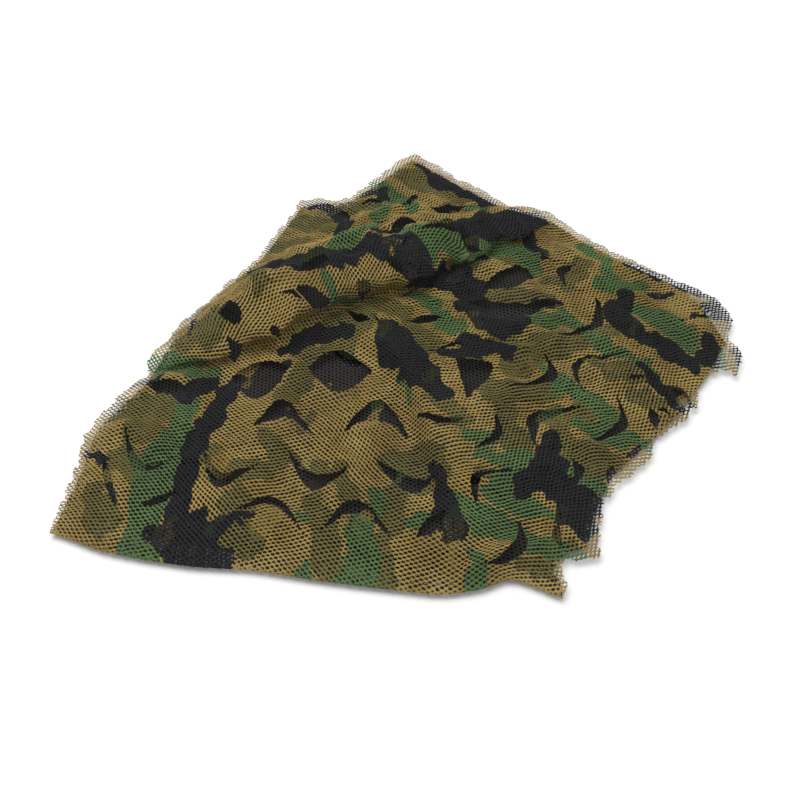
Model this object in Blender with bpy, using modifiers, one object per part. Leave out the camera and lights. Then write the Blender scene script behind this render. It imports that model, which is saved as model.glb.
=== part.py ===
"""Camouflage net: one panel of knitted mesh, leaf-cut, laid folded in three layers.

Metres, +Z up, +X along the longest side, the origin at the middle of the resting face.
The tables below are in millimetres and are turned into metres where they are used.
"""

import math

import bmesh
import bpy
import numpy as np
from mathutils import Vector
from mathutils.geometry import delaunay_2d_cdt

MM = 0.001
SHEET = 1.6 * MM             # thickness of the cloth
BOTTOM_Z = 0.5 * SHEET       # mid-surface of the layer on the surface below
MIDDLE_Z = 4.2 * MM          # lowest height of the middle layer
TOP_Z = 8.0 * MM             # lowest height of the top layer
BODY_RISE = 9.0 * MM         # how far the heap stands up inside its edges
BODY_REACH = 45.0 * MM       # over what distance from an edge it does so
MIDDLE_SHARE = 0.42          # the middle layer follows this share of the top's rise
ROLL_STEP = 10.0 * MM        # point spacing along the roll
ROLL_ROWS = 6                # rows of points down the steep face of the roll
TOP_STEP = 13.2 * MM         # point spacing on the rest of the top layer
UNDER_STEP = 30.0 * MM       # point spacing on the layers below
FOLD_SEGMENTS = 3            # strips round each fold
FOLD_STEP = 22.0 * MM        # point spacing along each fold
ROLL_LEAN = 9.0 * MM         # how far the face of the roll bulges forward
ROLL_FULL = 12.0 * MM        # height from which the roll bulges fully
LEAN_X = 0.50                # direction in which it bulges
LEAN_Y = -0.86
MIDDLE_ROLL = 0.25           # the middle layer's share of the roll's height
EDGE_CLEAR = 0.42            # loose points keep off edges by this share of the step
ROLL_CLEAR = 0.3             # the same on the roll
APART = 0.55                 # grid points keep this share of the step off the roll's
ROW_RATIO = 0.866            # rows of a staggered grid are this share of the step apart
WELD = 1e-7                  # points of the outline nearer than this are one

# Outline of the top layer. The first rows, up to the right corner, are the front fold.
TOP_OUTLINE = (
    # x, y
    (-284, -147), (-273, -150), (-241, -164), (-207, -172), (-165, -179), (-118, -182),
    (-63, -192), (-23, -198), (8, -202), (31, -205), (48, -203), (69, -198), (83, -190),
    (97, -193), (111, -200), (127, -208), (133, -198), (127, -186), (133, -175), (145, -178),
    (161, -175), (163, -163), (163, -145), (169, -126), (176, -110), (185, -99), (207, -82),
    (219, -65), (223, -50), (249, -32), (264, -16), (268, 5), (286, 27), (298, 31), (304, 20),
    (313, 35), (319, 56), (309, 64), (309, 79), (318, 95), (311, 113), (303, 130), (284, 141),
    (250, 167), (219, 189), (192, 211), (171, 235), (151, 256), (126, 264), (112, 263), (95, 284),
    (63, 308), (40, 333), (15, 353), (-6, 335), (-30, 304), (-52, 279), (-66, 272), (-86, 276),
    (-106, 272), (-111, 253), (-120, 235), (-131, 211), (-140, 188), (-154, 166), (-171, 145),
    (-182, 123), (-202, 100), (-214, 80), (-215, 60), (-233, 44), (-229, 26), (-246, 8), (-259, -10),
    (-267, -27), (-276, -44), (-275, -68), (-278, -93), (-282, -122),
)
FRONT_COUNT = 16             # rows of TOP_OUTLINE on the front fold

# Rear edge of the middle layer, from the right end round to the left corner.
MIDDLE_RIM = (
    # x, y
    (127, -194), (121, -183), (130, -170), (152, -160), (160, -128), (180, -90), (213, -57),
    (252, -15), (285, 34), (304, 66), (282, 135), (231, 171), (188, 205), (154, 241), (99, 266),
    (58, 302), (12, 343), (-24, 300), (-57, 270), (-101, 246), (-134, 185), (-170, 134),
    (-207, 72), (-229, 17), (-265, -38), (-272, -94),
)
REAR_FIRST = 9               # row of MIDDLE_RIM where the rear fold starts
REAR_LAST = 16               # row of MIDDLE_RIM where the rear fold ends

# Free edge of the bottom layer, from the left end of the rear fold to its right end.
BOTTOM_RIM = (
    # x, y
    (-28, 285), (-68, 257), (-124, 189), (-164, 128), (-203, 60), (-244, -12), (-258, -60), (-268, -112),
    (-196, -151), (-120, -166), (-40, -177), (50, -183), (108, -179), (116, -172), (148, -150),
    (166, -98), (214, -44), (262, 8),
)

# Folds of the top layer: a line of points with the height there and the reach of
# the slope on its right side and its left side, seen along the line.
ROLL = (
    # x, y, height, right, left
    (-212, 46, 8, 22, 36), (-186, 58, 20, 26, 46), (-162, 71, 31, 30, 56),
    (-132, 88, 39, 34, 70), (-92, 111, 43, 30, 86), (-47, 135, 41, 30, 96),
    (0, 157, 38, 32, 100), (39, 179, 31, 24, 84), (79, 207, 21, 24, 56),
    (116, 229, 12, 22, 36), (150, 238, 3, 18, 24),
)
PANEL_CREST = (
    # x, y, height, right, left
    (-56, 92, 4, 40, 46), (-37, 74, 10, 34, 76), (-12, 44, 15, 26, 104),
    (6, 8, 18, 18, 120), (18, -28, 18, 15, 124), (26, -62, 16, 14, 120),
    (34, -94, 13, 14, 104), (40, -126, 9, 16, 84), (46, -160, 5, 20, 56),
)
SMALL_FOLDS = (
    # x, y, height, right, left
    ((-262, -60, 3, 12, 18), (-240, -44, 7, 12, 18), (-214, -52, 3, 12, 18)),
    ((-236, -2, 3, 10, 20), (-208, 10, 8, 12, 20), (-176, 8, 4, 14, 24)),
    ((-230, -116, 2, 22, 22), (-206, -60, 5, 22, 26), (-190, -14, 2, 20, 24)),
    ((-150, -150, 2, 26, 26), (-130, -90, 5, 26, 30), (-128, -30, 2, 24, 28)),
    ((-64, -160, 2, 24, 24), (-50, -110, 4, 24, 30), (-62, -56, 2, 22, 28)),
    ((64, 160, 3, 14, 22), (96, 132, 9, 16, 28), (140, 112, 3, 18, 30)),
    ((126, 188, 2, 14, 20), (160, 166, 6, 14, 24), (204, 160, 2, 14, 22)),
    ((88, 36, 2, 20, 26), (146, 58, 6, 18, 26), (214, 66, 2, 18, 24)),
    ((150, -22, 2, 14, 26), (190, 6, 6, 16, 26), (236, 44, 3, 16, 26)),
    ((82, -60, 2, 20, 20), (104, -96, 5, 18, 22), (112, -140, 2, 16, 20)),
    ((52, -192, 3, 10, 12), (76, -174, 9, 10, 16), (112, -164, 3, 12, 18)),
    ((-60, 214, 3, 20, 20), (-6, 240, 8, 18, 26), (56, 246, 4, 16, 22)),
    ((-150, 118, 2, 20, 20), (-96, 176, 5, 22, 24), (-72, 226, 2, 20, 22)),
    ((256, 148, 2, 10, 14), (228, 160, 7, 10, 16), (200, 178, 2, 10, 14)),
    ((240, 96, 2, 16, 22), (270, 74, 5, 16, 22), (298, 88, 2, 12, 16)),
)

# Leaf cuts: each leaf hangs from its two tips and leaves open a bowed gap between the fixed side
# and its own side.
LEAF_CUTS = (
    # x1, y1, x and y of the fixed side's middle, of the leaf's side's middle, x2, y2
    (-226, 4, -206, 8, -208, -7, -188, -1), (-238, -44, -220, -93, -215, -85, -185, -71),
    (-254, -71, -246, -103, -240, -101, -232, -129), (-214, -125, -199, -117, -198, -122, -182, -110),
    (-128, -50, -104, -16, -101, -37, -74, -56), (-49, -51, -18, -15, -17, -35, 10, -64),
    (-83, 26, -55, 45, -55, -9, -25, 20), (-151, 13, -127, 33, -127, -10, -100, 23),
    (-168, -68, -150, -110, -145, -98, -115, -83), (-95, -70, -72, -113, -67, -101, -38, -83),
    (-23, -76, 5, -113, 7, -101, 30, -100), (12, -40, 34, -45, 35, -55, 58, -43),
    (-156, 80, -146, 71, -164, 65, -152, 63), (-163, 56, -146, 51, -160, 45, -151, 33),
    (-50, 93, -38, 85, -40, 79, -26, 74), (5, 77, 23, 85, 23, 78, 41, 85),
    (-44, 118, -48, 113, -36, 118, -34, 106), (-138, -134, -103, -119, -104, -125, -76, -159),
    (-65, -154, -35, -123, -35, -134, -6, -160), (13, -157, 22, -141, 29, -155, 37, -135),
    (-91, 112, -85, 150, -82, 111, -67, 117), (-110, 91, -92, 103, -91, 92, -77, 105),
    (-188, 79, -187, 61, -192, 65, -193, 52), (-91, 256, -53, 244, -62, 234, -62, 205),
    (-41, 259, -26, 266, -24, 256, -7, 239), (-13, 177, -1, 207, 2, 186, 16, 202),
    (10, 242, 7, 262, 14, 248, 16, 269), (29, 249, 49, 245, 50, 232, 70, 251),
    (38, 181, 48, 190, 48, 184, 59, 193), (23, 32, 42, 44, 42, 38, 60, 51),
    (79, 128, 114, 161, 106, 123, 131, 142), (172, 164, 153, 153, 161, 151, 160, 129),
    (137, 171, 143, 173, 144, 166, 149, 166), (62, 109, 108, 109, 104, 95, 154, 106),
    (186, 123, 187, 75, 179, 83, 143, 59), (216, 43, 160, 34, 166, 29, 163, -5),
    (131, 44, 139, 10, 130, 15, 91, -4), (158, -23, 113, -31, 124, -38, 116, -67),
    (80, -29, 86, -61, 80, -57, 59, -75), (191, -5, 197, -43, 190, -38, 162, -56),
    (198, 8, 215, 15, 215, 10, 232, 11), (244, 3, 256, -2, 245, -13, 253, -17),
    (227, -21, 234, -19, 233, -28, 239, -32), (220, -20, 226, -29, 217, -32, 223, -41),
    (262, 82, 280, 96, 279, 89, 297, 101), (103, -95, 61, -103, 68, -107, 65, -137),
    (94, -137, 100, -170, 92, -165, 66, -185), (130, -141, 123, -154, 129, -154, 130, -166),
    (146, -76, 155, -88, 145, -92, 146, -105), (180, -81, 182, -90, 173, -92, 174, -101),
    (208, -58, 203, -69, 199, -67, 192, -73), (50, 26, 83, 21, 54, 1, 58, -22),
    (-18, 137, -8, 142, -13, 133, -5, 139),
)
# The larger leaf cuts of each layer below.
UNDER_CUTS = (
    # columns as in LEAF_CUTS
    (-208, -104, -180, -72, -180, -80, -152, -100), (-88, -96, -62, -128, -62, -120, -36, -98),
    (32, -120, 60, -94, 60, -102, 88, -118), (96, 20, 112, -12, 112, -3, 146, 0),
    (-66, 62, -42, 34, -42, 42, -12, 58), (0, 188, 14, 218, 20, 210, 48, 208),
)
CUT_STEP = 14.0              # a longer cut has one more point a side for each such length
CUT_STATIONS = (4, 7)        # fewest and most points along a side of a cut, tips included
CUT_BOW = 1.7                # weight of the middle, which makes the sides straighter
BOX_MIDDLE = (17.2, 71.5, 0.0)   # middle of the object's box in the tables' figures


def smooth_fall(share):
    """1 at 0, falling softly to 0 at 1 and beyond."""
    t = np.clip(share, 0.0, 1.0)
    return 0.5 + 0.5 * np.cos(math.pi * t)


def fold_height(points, rows):
    """Height of one fold line at each point, and the signed distance to its crest."""
    line = np.array(rows, float) * MM
    best = np.full(len(points), 1e9)
    height = np.zeros(len(points))
    offset = np.zeros(len(points))
    reach = np.ones(len(points))
    for a, b in zip(line[:-1], line[1:]):
        run = b[:2] - a[:2]
        length2 = run @ run
        t = np.clip(((points - a[:2]) @ run) / length2, 0.0, 1.0)
        away = points - a[:2] - t[:, None] * run
        dist = np.hypot(away[:, 0], away[:, 1])
        side = run[0] * away[:, 1] - run[1] * away[:, 0]
        mixed = a[2:] + t[:, None] * (b[2:] - a[2:])
        near = dist < best
        best[near] = dist[near]
        height[near] = mixed[near, 0]
        offset[near] = np.where(side > 0.0, dist, -dist)[near]
        reach[near] = np.where(side > 0.0, mixed[:, 2], mixed[:, 1])[near]
    return height * smooth_fall(best / reach), offset, reach


def edge_distance(points, outline):
    """Distance from each point to the closed outline."""
    best = np.full(len(points), 1e9)
    for a, b in zip(outline, np.roll(outline, -1, axis=0)):
        run = b - a
        t = np.clip(((points - a) @ run) / (run @ run), 0.0, 1.0)
        away = points - a - t[:, None] * run
        best = np.minimum(best, np.hypot(away[:, 0], away[:, 1]))
    return best


def inside(points, outline):
    """Whether each point lies inside the closed outline."""
    found = np.zeros(len(points), bool)
    for (x1, y1), (x2, y2) in zip(outline, np.roll(outline, -1, axis=0)):
        if y1 == y2:
            continue
        across = (y1 > points[:, 1]) != (y2 > points[:, 1])
        crossing = x1 + (points[:, 1] - y1) * (x2 - x1) / (y2 - y1)
        found ^= across & (points[:, 0] < crossing)
    return found


def top_rise(points):
    """Rise of the top layer over its lowest height, and its forward lean."""
    outline = np.array(TOP_OUTLINE, float) * MM
    rise = BODY_RISE * (1.0 - np.exp(-edge_distance(points, outline) / BODY_REACH))
    roll, offset, reach = fold_height(points, ROLL)
    rise = rise + roll + fold_height(points, PANEL_CREST)[0]
    for rows in SMALL_FOLDS:
        rise = rise + fold_height(points, rows)[0]
    front = np.clip(-offset / reach, 0.0, 1.0)
    fullness = np.clip(roll / ROLL_FULL, 0.0, 1.0) * (offset < 0.0)
    lean = ROLL_LEAN * np.sin(math.pi * front) ** 2 * fullness
    return rise, lean


def top_place(points):
    """Mid-surface of the top layer over each flat point."""
    rise, lean = top_rise(points)
    x = points[:, 0] + LEAN_X * lean
    y = points[:, 1] + LEAN_Y * lean
    return np.column_stack((x, y, TOP_Z + rise))


def middle_place(points):
    """Mid-surface of the middle layer, a calmer copy of the top layer."""
    rise = top_rise(points)[0]
    outline = np.array(TOP_OUTLINE, float) * MM
    roll = fold_height(points, ROLL)[0]
    calm = MIDDLE_SHARE * (rise - roll) + MIDDLE_ROLL * roll
    held = 1.0 - np.exp(-edge_distance(points, outline) / BODY_REACH)
    return np.column_stack((points, MIDDLE_Z + calm * held))


def bottom_place(points):
    """Mid-surface of the bottom layer, flat on the surface below."""
    return np.column_stack((points, np.full(len(points), BOTTOM_Z)))


def bowed_line(first, middle, last, count):
    """Points of a conic curve from the first point to the last one, past the middle one."""
    control = ((2.0 + 2.0 * CUT_BOW) * middle - first - last) / (2.0 * CUT_BOW)
    t = np.linspace(0.0, 1.0, count)[:, None]
    shares = ((1.0 - t) ** 2, 2.0 * CUT_BOW * t * (1.0 - t), t ** 2)
    return (shares[0] * first + shares[1] * control + shares[2] * last) / sum(shares)


def cut_outline(row):
    """Closed outline of one leaf cut: its fixed side, then back along the leaf's side."""
    first, fixed, leaf, last = np.array(row, float).reshape(4, 2)
    count = int(np.hypot(*(last - first)) / CUT_STEP) + CUT_STATIONS[0] - 1
    count = min(max(count, CUT_STATIONS[0]), CUT_STATIONS[1])
    there = bowed_line(first, fixed, last, count)
    back = bowed_line(first, leaf, last, count)[-2:0:-1]
    return np.vstack((there, back)) * MM


def grid_points(outline, step, cuts):
    """Staggered grid of points inside the outline, clear of its edge and of the cuts."""
    low = outline.min(axis=0)
    high = outline.max(axis=0)
    rows = []
    y = low[1] + 0.5 * step
    shift = 0.0
    while y < high[1]:
        xs = np.arange(low[0] + shift + 0.3 * step, high[0], step)
        rows.append(np.column_stack((xs, np.full(len(xs), y))))
        y += step * ROW_RATIO
        shift = 0.5 * step - shift
    points = np.vstack(rows)
    keep = inside(points, outline) & (edge_distance(points, outline) > EDGE_CLEAR * step)
    for cut in cuts:
        keep &= ~inside(points, cut) & (edge_distance(points, cut) > EDGE_CLEAR * step)
    return points[keep]


def roll_points(outline, cuts):
    """Rows of points down the steep face of the roll, in line with its crest."""
    line = np.array(ROLL, float) * MM
    run = np.gradient(line[:, :2], axis=0)
    run /= np.hypot(run[:, 0], run[:, 1])[:, None]
    table = np.column_stack((line[:, :2], line[:, 3], run))
    gaps = np.hypot(*np.diff(line[:, :2], axis=0).T)
    place = np.concatenate(((0.0,), np.cumsum(gaps)))
    spots = np.arange(ROLL_STEP, place[-1] - ROLL_STEP, ROLL_STEP)
    columns = np.column_stack([np.interp(spots, place, c) for c in table.T])
    rows = []
    for row in range(ROLL_ROWS + 1):
        share = row / ROLL_ROWS
        out = columns[:, 2] * share
        rows.append(columns[:, :2] + np.column_stack((columns[:, 4] * out, -columns[:, 3] * out)))
    points = np.vstack(rows)
    keep = inside(points, outline) & (edge_distance(points, outline) > EDGE_CLEAR * ROLL_STEP)
    for cut in cuts:
        keep &= ~inside(points, cut) & (edge_distance(points, cut) > ROLL_CLEAR * ROLL_STEP)
    return points[keep]


def layer_mesh(outline, cuts, loose):
    """Triangles between the outline, the cuts and the loose points."""
    verts = list(outline)
    edges = [(i, (i + 1) % len(outline)) for i in range(len(outline))]
    for cut in cuts:
        first = len(verts)
        verts.extend(cut)
        edges.extend((first + i, first + (i + 1) % len(cut)) for i in range(len(cut)))
    verts.extend(loose)
    flat = [Vector((float(x), float(y))) for x, y in verts]
    points, _, faces, _, _, _ = delaunay_2d_cdt(flat, edges, [], 1, WELD)
    points = np.array([(p.x, p.y) for p in points])
    faces = np.array([f for f in faces if len(f) == 3])
    middles = points[faces].mean(axis=1)
    keep = inside(middles, outline)
    for cut in cuts:
        keep &= ~inside(middles, cut)
    return points, faces[keep]


def add_layer(bm, points, faces, placed, upward):
    """Adds one layer to the mesh and gives its vertices back."""
    verts = [bm.verts.new(p) for p in placed]
    for a, b, c in faces:
        corner = (points[b] - points[a], points[c] - points[a])
        turned = corner[0][0] * corner[1][1] - corner[0][1] * corner[1][0]
        order = (a, b, c) if (turned > 0.0) == upward else (a, c, b)
        bm.faces.new([verts[i] for i in order])
    return verts


def nearest(points, targets):
    """Index of the point at each target."""
    return [int(np.argmin(((points - t) ** 2).sum(axis=1))) for t in targets]


def add_fold(bm, upper, lower, bulge):
    """Joins two rows of vertices by strips round a half-round fold."""
    rails = [upper]
    for step in range(1, FOLD_SEGMENTS):
        turn = math.pi * step / FOLD_SEGMENTS
        rail = []
        for a, b, out in zip(upper, lower, bulge):
            centre = 0.5 * (a.co + b.co)
            half = 0.5 * (a.co - b.co)
            spot = centre + half * math.cos(turn) + out * (half.length * math.sin(turn))
            rail.append(bm.verts.new(spot))
        rails.append(rail)
    rails.append(lower)
    for one, two in zip(rails[:-1], rails[1:]):
        for i in range(len(one) - 1):
            bm.faces.new((one[i], two[i], two[i + 1], one[i + 1]))


def outward(line):
    """Level unit vectors to the right of a line of points, one at each."""
    run = np.gradient(line, axis=0)
    run /= np.hypot(run[:, 0], run[:, 1])[:, None]
    return [Vector((float(r[1]), float(-r[0]), 0.0)) for r in run]


def densify(line, step):
    """Points along an open line, no further apart than the step."""
    spots = [line[0]]
    for a, b in zip(line[:-1], line[1:]):
        count = max(1, math.ceil(np.hypot(*(b - a)) / step))
        spots.extend(a + (b - a) * (i + 1) / count for i in range(count))
    return np.array(spots)


def make_net(collection, material):
    """The three layers and the two folds between them, as one solid of cloth."""
    top_line = np.array(TOP_OUTLINE, float) * MM
    front = densify(top_line[:FRONT_COUNT], FOLD_STEP)
    top_outline = np.vstack((front, densify(top_line[FRONT_COUNT - 1:], TOP_STEP * 1.2)[1:]))
    rim = np.array(MIDDLE_RIM, float) * MM
    rear = densify(rim[REAR_FIRST:REAR_LAST + 1], FOLD_STEP)
    middle_outline = np.vstack((front, rim[:REAR_FIRST], rear, rim[REAR_LAST + 1:]))
    bottom_outline = np.vstack((rear, np.array(BOTTOM_RIM, float) * MM))
    cuts = [cut_outline(row) for row in LEAF_CUTS]
    under_cuts = [cut_outline(row) for row in UNDER_CUTS]

    loose = grid_points(top_outline, TOP_STEP, cuts)
    steep = roll_points(top_outline, cuts)
    apart = ((loose[:, None, :] - steep[None, :, :]) ** 2).sum(axis=2).min(axis=1)
    loose = loose[apart > (APART * TOP_STEP) ** 2]
    top_points, top_faces = layer_mesh(top_outline, cuts, np.vstack((loose, steep)))
    loose = grid_points(middle_outline, UNDER_STEP, under_cuts)
    middle_points, middle_faces = layer_mesh(middle_outline, under_cuts, loose)
    loose = grid_points(bottom_outline, UNDER_STEP, under_cuts)
    bottom_points, bottom_faces = layer_mesh(bottom_outline, under_cuts, loose)

    bm = bmesh.new()
    top = add_layer(bm, top_points, top_faces, top_place(top_points), True)
    middle = add_layer(bm, middle_points, middle_faces, middle_place(middle_points), False)
    bottom = add_layer(bm, bottom_points, bottom_faces, bottom_place(bottom_points), True)
    upper = [top[i] for i in nearest(top_points, front)]
    lower = [middle[i] for i in nearest(middle_points, front)]
    add_fold(bm, upper, lower, outward(front))
    upper = [middle[i] for i in nearest(middle_points, rear)]
    lower = [bottom[i] for i in nearest(bottom_points, rear)]
    add_fold(bm, upper, lower, outward(rear))
    bmesh.ops.recalc_face_normals(bm, faces=bm.faces)
    bmesh.ops.translate(bm, verts=bm.verts, vec=[-MM * v for v in BOX_MIDDLE])

    mesh = bpy.data.meshes.new("net")
    bm.to_mesh(mesh)
    bm.free()
    net = bpy.data.objects.new("net", mesh)
    mesh.materials.append(material)
    collection.objects.link(net)
    solidify = net.modifiers.new("cloth", "SOLIDIFY")
    solidify.thickness = SHEET
    solidify.offset = 0.0
    solidify.use_even_offset = True
    solidify.use_quality_normals = True
    return net


def make_material():
    material = bpy.data.materials.new("printed_mesh")
    material.use_nodes = True
    shader = material.node_tree.nodes["Principled BSDF"]
    shader.inputs["Base Color"].default_value = (0.17, 0.14, 0.06, 1.0)
    shader.inputs["Roughness"].default_value = 0.85
    return material


for leftover in list(bpy.data.objects):
    bpy.data.objects.remove(leftover, do_unlink=True)
net_collection = bpy.data.collections.new("camouflage net")
bpy.context.scene.collection.children.link(net_collection)
make_net(net_collection, make_material())
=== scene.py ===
"""Looks of the camouflage net: a knitted mesh with real holes, leaf cuts and a woodland print.

The net is one panel of cloth. Its folded shape is made first as a fine plain sheet, which
springs lay out flat. A net of six-sided cells is drawn on the flat cloth and carried back to
the folded shape. Tables are in millimetres in the plan of the heap.
"""

import math

import bpy
import numpy as np
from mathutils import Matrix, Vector
from mathutils.bvhtree import BVHTree
from mathutils.geometry import delaunay_2d_cdt


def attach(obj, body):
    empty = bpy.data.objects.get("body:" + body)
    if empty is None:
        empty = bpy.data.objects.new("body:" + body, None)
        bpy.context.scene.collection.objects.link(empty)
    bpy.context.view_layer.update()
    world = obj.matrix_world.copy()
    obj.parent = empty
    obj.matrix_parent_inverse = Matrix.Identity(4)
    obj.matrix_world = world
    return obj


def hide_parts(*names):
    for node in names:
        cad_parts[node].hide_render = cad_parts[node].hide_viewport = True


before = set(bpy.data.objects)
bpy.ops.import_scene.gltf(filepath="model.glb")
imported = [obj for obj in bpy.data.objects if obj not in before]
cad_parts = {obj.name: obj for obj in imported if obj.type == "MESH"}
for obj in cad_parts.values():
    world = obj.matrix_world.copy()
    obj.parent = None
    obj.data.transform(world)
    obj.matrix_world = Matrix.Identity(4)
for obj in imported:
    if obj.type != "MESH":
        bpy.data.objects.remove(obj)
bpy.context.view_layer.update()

MM = 0.001
TINY = 1e-9
FAR = 1e9
BOX_MIDDLE = np.array((17.2, 71.5))  # middle of the object's box in the tables' figures

# Soft noise, in rows for waves(): height, wavelength, number of waves, seed.
LOBES = ((0.11, 42.0, 6, 14), (0.022, 20.0, 7, 16))  # share of the roll's height
LEAN_NOISE = ((0.18, 46.0, 6, 15),)  # share of its lean
RIPPLES = ((1.2, 34.0, 9, 11), (0.6, 15.0, 9, 12))
MIDDLE_RIPPLES = ((0.5, 40.0, 9, 21),)
RATIO_NOISE = ((0.2, 90.0, 6, 31),)
UNDER_RATIO_NOISE = ((0.2, 90.0, 6, 33),)
TURN_NOISE = ((0.25, 110.0, 6, 32),)  # radians
SIZE_NOISE = ((0.06, 70.0, 6, 41),)  # share of the holes' size
TATTER_NOISE = ((1.2, 17.0, 8, 71), (0.6, 7.0, 8, 72))
PRINT_NOISE = (((1.6, 20.0, 8, 51), (0.4, 8.0, 8, 53)), ((1.6, 20.0, 8, 52), (0.4, 8.0, 8, 54)))

# The folded shape, layer by layer.
BOTTOM_Z = 0.9
MIDDLE_Z = 4.2
TOP_Z = 8.0
FLOOR_CLEAR = 0.25  # no point of the net is lower
EDGE_DROP = 1.6  # free edges sink this far towards the floor
EDGE_REACH = 14.0  # over this distance
FRONT_X = (-283, 126)  # ends of the front fold
FRONT_Y = (-146, -213)
FRONT_CLEAR = 20.0  # edges this far behind it are free
BODY_RISE = 9.0
BODY_REACH = 45.0
MIDDLE_SHARE = 0.42  # the middle layer has this share of the top layer's rise
MIDDLE_ROLL = 0.30  # and of its roll
ROLL_LEAN = 19.0  # the roll leans forward this far
ROLL_FULL = 12.0  # where it is at least this high
LEAN_LOW = 1.5  # power that brings the lean down to the roll's foot
LEAN_X = 0.50  # direction of the lean
LEAN_Y = -0.86
CREST_SHARP = 0.6  # share of a crease in the shape of the lower folds
CREASE_POWER = 1.5
SMALL_RISE = 1.15  # the small folds are this much higher than their rows
RIPPLE_REACH = 20.0
RIPPLE_LEFT = 0.8  # share of the ripples on the left, and what the right has more
RIPPLE_MORE = 0.7
RIPPLE_SPLIT = (60.0, 0.5, 20.0)  # for right_of()
TOP_STEP = 4.6
ROLL_STEP = 2.6  # finer points on the steep face of the roll
ROLL_ENDS = 60.0  # and this far beyond its ends
ROLL_FACE = 1.2  # down to this share of its reach
ROLL_BACK = 8.0  # and this far behind its crest
UNDER_STEP = 8.0
FRONT_STEP = 5.0  # points along the edges
SIDE_STEP = 4.0
REAR_STEP = 6.0
GRID_START = 0.3  # shares of a step from the edges to the first points
GRID_CLEAR = 0.45
ROW_RATIO = 0.866
ROUND_PASSES = 3
FOLD_SEGMENTS = 5
RELAX_STEPS = 900
RELAX_KEEP = 0.93  # share of its speed that a point keeps
RELAX_PUSH = 1.1
RELAX_GROW = 0.7  # lengths grow to their own over this share of the steps
FOLD_FIRM = 6.0  # firmness of the folds' width over that of the cloth

# The knitted mesh.
PITCH = 3.9  # from hole to hole
GRAIN = math.radians(12.0)  # direction of the rows of holes
HOLE = 1.36  # mean radius of a hole
UNDER_HOLE = (1.0, 0.72, 0.40)  # share of that size in the top, middle and bottom layer
FOLD_HOLE = 0.5  # and on the folds
HOLE_SCATTER = 0.07
HOLE_MOST = 0.88  # most share of the way to a cell's corners
HOLES_LEFT = math.radians(-18.0)  # long direction of the holes on the left, right and roll
HOLES_RIGHT = math.radians(30.0)
HOLES_ROLL = math.radians(76.0)
HOLES_SPLIT = (30.0, 0.25, 10.0)  # for right_of()
HOLE_RATIO = 1.95  # a hole's length over its width
RATIO_RIGHT = 0.15  # more on the right
RATIO_UNDER = 1.3
RATIO_RANGE = (1.2, 2.5)
STRAND_RISE = 0.42  # from a hole's edge to a strand's middle
JITTER = 0.16  # scatter of the strands' meeting points
CELL_OFF = 0.4  # pitches that a cell's middle may be off the cloth
ON_EDGE = 0.02  # points this near the flat cloth are on it
ON_FOLD = 0.02  # layer numbers further from a whole one are on a fold
TATTER = 0.4  # mean width torn off free edges
TATTER_MOST = 2.4
FRONT_WHOLE = 12.0  # none is torn off this near the front fold
TOP_SPLIT = 0.0  # line between the two pieces of the top layer

CAMERA_RISE = math.radians(49.0)
CAMERA_AWAY = 1.05  # metres from the point that the camera faces
CAMERA_LENS = 52.5

# Outline of the top layer; its first rows are the front fold.
TOP_OUTLINE = (
    # x, y
    (-284, -147), (-273, -150), (-241, -164), (-207, -172), (-165, -179), (-118, -182),
    (-63, -192), (-23, -198), (8, -202), (31, -205), (48, -203), (69, -198), (83, -190),
    (97, -193), (111, -200), (127, -208), (133, -198), (127, -186), (133, -175), (145, -178),
    (161, -175), (163, -163), (163, -145), (169, -126), (176, -110), (185, -99), (207, -82),
    (219, -65), (223, -50), (249, -32), (264, -16), (268, 5), (286, 27), (298, 31), (304, 20),
    (313, 35), (319, 56), (309, 64), (309, 79), (318, 95), (311, 113), (303, 130), (284, 141),
    (250, 167), (219, 189), (192, 211), (171, 235), (151, 256), (126, 264), (112, 263), (95, 284),
    (63, 308), (40, 333), (15, 353), (-6, 335), (-30, 304), (-52, 279), (-66, 272), (-86, 276),
    (-106, 272), (-111, 253), (-120, 235), (-131, 211), (-140, 188), (-154, 166), (-171, 145),
    (-182, 123), (-202, 100), (-214, 80), (-215, 60), (-233, 44), (-229, 26), (-246, 8), (-259, -10),
    (-267, -27), (-276, -44), (-275, -68), (-278, -93), (-282, -122),
)
FRONT_COUNT = 16
# Rim of the middle layer and free edge of the bottom layer.
MIDDLE_RIM = (
    # x, y
    (127, -194), (121, -183), (130, -170), (152, -160), (160, -128), (180, -90), (213, -57),
    (252, -15), (285, 34), (304, 66), (282, 135), (231, 171), (188, 205), (154, 241), (99, 266),
    (58, 302), (12, 343), (-24, 300), (-57, 270), (-86, 268), (-103, 262), (-137, 185), (-175, 134),
    (-211, 74), (-229, 17), (-265, -38), (-272, -94),
)
REAR_FIRST = 9
REAR_LAST = 16
BOTTOM_RIM = (
    # x, y
    (-28, 285), (-68, 257), (-124, 189), (-164, 128), (-203, 60), (-244, -12), (-258, -60), (-268, -112),
    (-196, -151), (-120, -166), (-40, -177), (50, -183), (108, -179), (116, -172), (148, -150),
    (166, -98), (214, -44), (262, 8),
)

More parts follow.
